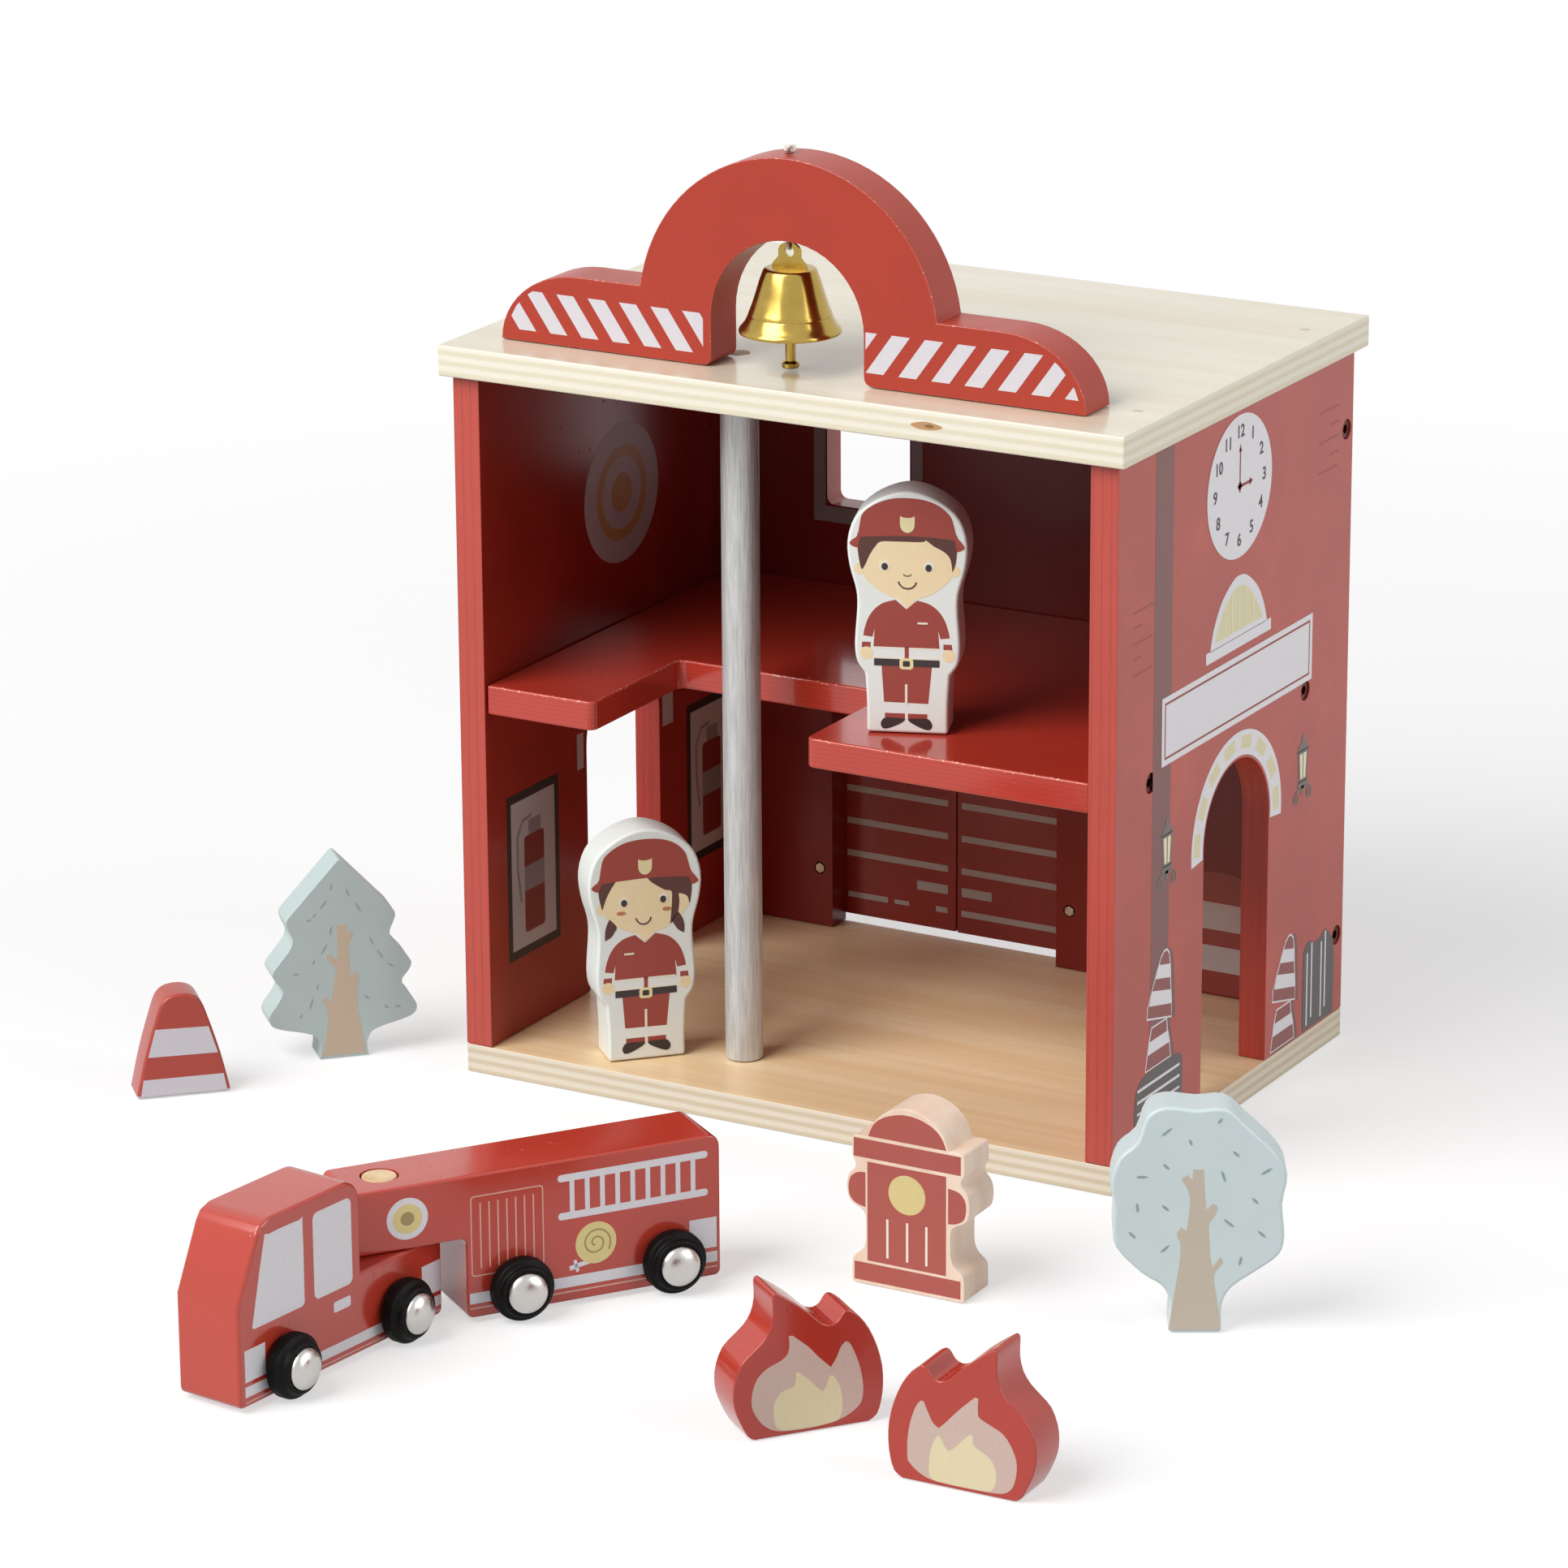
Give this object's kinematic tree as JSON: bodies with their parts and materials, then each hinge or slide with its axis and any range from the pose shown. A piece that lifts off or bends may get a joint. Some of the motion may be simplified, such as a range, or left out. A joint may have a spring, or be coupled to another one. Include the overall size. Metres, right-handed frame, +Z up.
{
  "type": "toy fire station playset",
  "caption": "Open-fronted wooden toy station with a mid floor, slide pole, arched sign with a swinging bell, hinged gates, and loose figures, trees, flames, hydrant, cone and jointed truck.",
  "frame": {"origin": "centre of the base board's underside, on the surface that everything stands on", "axes": "+Z up, the open front faces -Y, +X to the right seen from the front"},
  "size_m": [0.4438, 0.474, 0.3356],
  "materials": {
    "house_red": "glossy red paint on plywood",
    "beech_board": "clear satin lacquer on plywood with a beech face",
    "bare_plywood": "clear satin lacquer on pale plywood",
    "silver_paint": "satin silver grey paint on a wooden dowel",
    "dark_bolt": "blackened steel",
    "zinc_steel": "bright zinc",
    "sign_red": "satin red paint on solid wood",
    "bell_brass": "polished",
    "string": "matt twisted cotton",
    "figure_white": "satin white paint with printed clothes",
    "pine_paint": "satin grey green paint",
    "tree_paint": "satin pale blue paint",
    "cone_paint": "satin red and white paint",
    "hydrant_wood": "clear satin lacquer with a printed face",
    "flame_paint": "satin red paint with a printed face",
    "truck_red": "glossy red paint with printed sides",
    "peg_wood": "clear satin lacquer",
    "tyre_rubber": "matt black rubber",
    "hub_chrome": "polished",
    "axle_steel": "bright"
  },
  "bodies": {
    "house": {"base_board": "beech_board", "left_wall": "house_red", "right_wall": "house_red", "back_wall": "house_red", "mid_floor": "house_red", "roof_board": "bare_plywood", "pole": "silver_paint", "left_bolt_floor_front": "dark_bolt", "left_bolt_floor_back": "dark_bolt", "left_bolt_back_low": "dark_bolt", "left_bolt_back_high": "dark_bolt", "gate_eye_left_low": "zinc_steel", "gate_eye_left_high": "zinc_steel", "right_bolt_floor_front": "dark_bolt", "right_bolt_floor_back": "dark_bolt", "right_bolt_back_low": "dark_bolt", "right_bolt_back_high": "dark_bolt", "gate_eye_right_low": "zinc_steel", "gate_eye_right_high": "zinc_steel", "sign_arch": "sign_red", "bell_cord": "string"},
    "gate_leaf_left": {"gate_leaf_left": "house_red", "gate_rod_left": "zinc_steel"},
    "gate_leaf_right": {"gate_leaf_right": "house_red", "gate_rod_right": "zinc_steel"},
    "cord_loop": {"bell_cord_loop": "string"},
    "bell": {"bell": "bell_brass"},
    "clapper": {"clapper": "bell_brass"},
    "girl": {"girl_figure": "figure_white"},
    "boy": {"boy_figure": "figure_white"},
    "pine": {"pine_tree": "pine_paint"},
    "round_tree": {"round_tree": "tree_paint"},
    "cone": {"traffic_cone": "cone_paint"},
    "hydrant": {"hydrant": "hydrant_wood"},
    "flame_left": {"flame_left": "flame_paint"},
    "flame_right": {"flame_right": "flame_paint"},
    "tractor": {"tractor_body": "truck_red", "truck_peg": "peg_wood"},
    "trailer": {"trailer_body": "truck_red"},
    "tractor_front_wheels": {"tractor_front_axle": "axle_steel", "tractor_front_tyre_left": "tyre_rubber", "tractor_front_tyre_right": "tyre_rubber", "tractor_front_hub_left": "hub_chrome", "tractor_front_hub_right": "hub_chrome"},
    "tractor_rear_wheels": {"tractor_rear_axle": "axle_steel", "tractor_rear_tyre_left": "tyre_rubber", "tractor_rear_tyre_right": "tyre_rubber", "tractor_rear_hub_left": "hub_chrome", "tractor_rear_hub_right": "hub_chrome"},
    "trailer_front_wheels": {"trailer_front_axle": "axle_steel", "trailer_front_tyre_left": "tyre_rubber", "trailer_front_tyre_right": "tyre_rubber", "trailer_front_hub_left": "hub_chrome", "trailer_front_hub_right": "hub_chrome"},
    "trailer_rear_wheels": {"trailer_rear_axle": "axle_steel", "trailer_rear_tyre_left": "tyre_rubber", "trailer_rear_tyre_right": "tyre_rubber", "trailer_rear_hub_left": "hub_chrome", "trailer_rear_hub_right": "hub_chrome"}
  },
  "joints": [
    {"name": "gate_left_hinge", "type": "hinge", "parent": "house", "child": "gate_leaf_left", "pos_m": [-0.07885, 0.0923, 0.064], "axis": [0, 0, 1], "range_deg": [0, 170]},
    {"name": "gate_right_hinge", "type": "hinge", "parent": "house", "child": "gate_leaf_right", "pos_m": [0.02285, 0.0923, 0.064], "axis": [0, 0, -1], "range_deg": [0, 170]},
    {"name": "cord_swing", "type": "hinge", "parent": "house", "child": "cord_loop", "pos_m": [-0.0069, -0.0675, 0.3037], "axis": [1, 0, 0], "range_deg": [-35, 35]},
    {"name": "bell_swing", "type": "hinge", "parent": "cord_loop", "child": "bell", "pos_m": [-0.0069, -0.0675, 0.3005], "axis": [0, 1, 0], "range_deg": [-30, 16]},
    {"name": "clapper_swing", "type": "hinge", "parent": "bell", "child": "clapper", "pos_m": [-0.0069, -0.0675, 0.2911], "axis": [0, 1, 0], "range_deg": [-34, 34]},
    {"name": "girl_lift", "type": "slide", "parent": "house", "child": "girl", "axis": [0, 0, 1], "range_m": [0, 0.03]},
    {"name": "boy_lift", "type": "slide", "parent": "house", "child": "boy", "axis": [0, 0, 1], "range_m": [0, 0.02]},
    {"name": "pine_lift", "type": "slide", "parent": "house", "child": "pine", "axis": [0, 0, 1], "range_m": [0, 0.1]},
    {"name": "round_tree_lift", "type": "slide", "parent": "house", "child": "round_tree", "axis": [0, 0, 1], "range_m": [0, 0.1]},
    {"name": "cone_lift", "type": "slide", "parent": "house", "child": "cone", "axis": [0, 0, 1], "range_m": [0, 0.1]},
    {"name": "hydrant_lift", "type": "slide", "parent": "house", "child": "hydrant", "axis": [0, 0, 1], "range_m": [0, 0.1]},
    {"name": "flame_left_lift", "type": "slide", "parent": "house", "child": "flame_left", "axis": [0, 0, 1], "range_m": [0, 0.1]},
    {"name": "flame_right_lift", "type": "slide", "parent": "house", "child": "flame_right", "axis": [0, 0, 1], "range_m": [0, 0.1]},
    {"name": "tractor_lift", "type": "slide", "parent": "house", "child": "tractor", "axis": [0, 0, 1], "range_m": [0, 0.1]},
    {"name": "truck_coupling", "type": "hinge", "parent": "tractor", "child": "trailer", "pos_m": [-0.0265, -0.2959, 0.0285], "axis": [0, 0, 1], "range_deg": [-61.4, 118.6]},
    {"name": "tractor_front_spin", "type": "hinge", "parent": "tractor", "child": "tractor_front_wheels", "pos_m": [-0.03406, -0.35663, 0.0104], "axis": [-0.9923, 0.1236, 0], "continuous": true},
    {"name": "tractor_rear_spin", "type": "hinge", "parent": "tractor", "child": "tractor_rear_wheels", "pos_m": [-0.02734, -0.30265, 0.0104], "axis": [-0.9923, 0.1236, 0], "continuous": true},
    {"name": "trailer_front_spin", "type": "hinge", "parent": "trailer", "child": "trailer_front_wheels", "pos_m": [-0.00263, -0.26269, 0.0104], "axis": [-0.8121, 0.5835, 0], "continuous": true},
    {"name": "trailer_rear_spin", "type": "hinge", "parent": "trailer", "child": "trailer_rear_wheels", "pos_m": [0.02789, -0.22021, 0.0104], "axis": [-0.8121, 0.5835, 0], "continuous": true}
  ]
}
